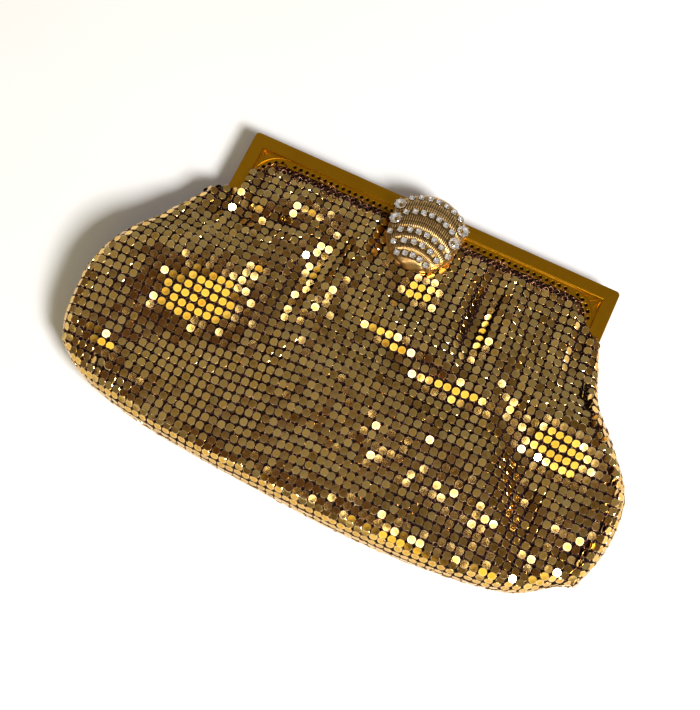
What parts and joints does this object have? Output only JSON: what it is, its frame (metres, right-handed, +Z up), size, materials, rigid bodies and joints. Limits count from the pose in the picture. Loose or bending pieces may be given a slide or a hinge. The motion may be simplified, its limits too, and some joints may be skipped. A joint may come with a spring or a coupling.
{
  "type": "metal mesh purse",
  "caption": "Gold metal mesh evening purse, closed and lying on its back, with a rectangular frame, a gathered mesh bag and a domed jewelled clasp that lifts over the frame's top edge.",
  "frame": {"origin": "middle of the purse's footprint, on the surface that its flat back rests on", "axes": "+X along the frame, +Y from the bag towards the frame's top edge, +Z up from the back to the front"},
  "size_m": [0.218, 0.1328, 0.0287],
  "materials": {
    "frame_gold": "satin gold-washed brass, slightly worn",
    "mesh_gold": "small flat gold discs with bright rounded rims",
    "clasp_gold": "antiqued cast gold with dark recesses",
    "pin_gold": "plain gold-washed brass",
    "stone_glass": "clear cut glass"
  },
  "bodies": {
    "purse": {"frame_front": "frame_gold", "frame_back": "frame_gold", "hinge_rivet_left": "pin_gold", "hinge_rivet_right": "pin_gold", "mesh_bag": "mesh_gold", "clasp_pin": "pin_gold"},
    "clasp": {"clasp": "clasp_gold", "stone_1": "stone_glass", "stone_2": "stone_glass", "stone_3": "stone_glass", "stone_4": "stone_glass", "stone_5": "stone_glass", "stone_6": "stone_glass", "stone_7": "stone_glass", "stone_8": "stone_glass", "stone_9": "stone_glass", "stone_10": "stone_glass", "stone_11": "stone_glass", "stone_12": "stone_glass", "stone_13": "stone_glass", "stone_14": "stone_glass", "stone_15": "stone_glass", "stone_16": "stone_glass", "stone_17": "stone_glass", "stone_18": "stone_glass", "stone_19": "stone_glass", "stone_20": "stone_glass", "stone_21": "stone_glass", "stone_22": "stone_glass", "stone_23": "stone_glass", "stone_24": "stone_glass", "stone_25": "stone_glass", "stone_26": "stone_glass", "stone_27": "stone_glass", "stone_28": "stone_glass", "stone_29": "stone_glass", "stone_30": "stone_glass", "stone_31": "stone_glass", "stone_32": "stone_glass", "stone_33": "stone_glass", "stone_34": "stone_glass", "stone_35": "stone_glass", "stone_36": "stone_glass", "stone_37": "stone_glass"}
  },
  "joints": [
    {"name": "clasp_lift", "type": "hinge", "parent": "purse", "child": "clasp", "pos_m": [0, 0.06386, 0.0045], "axis": [-1, 0, 0], "range_deg": [0, 95]}
  ]
}
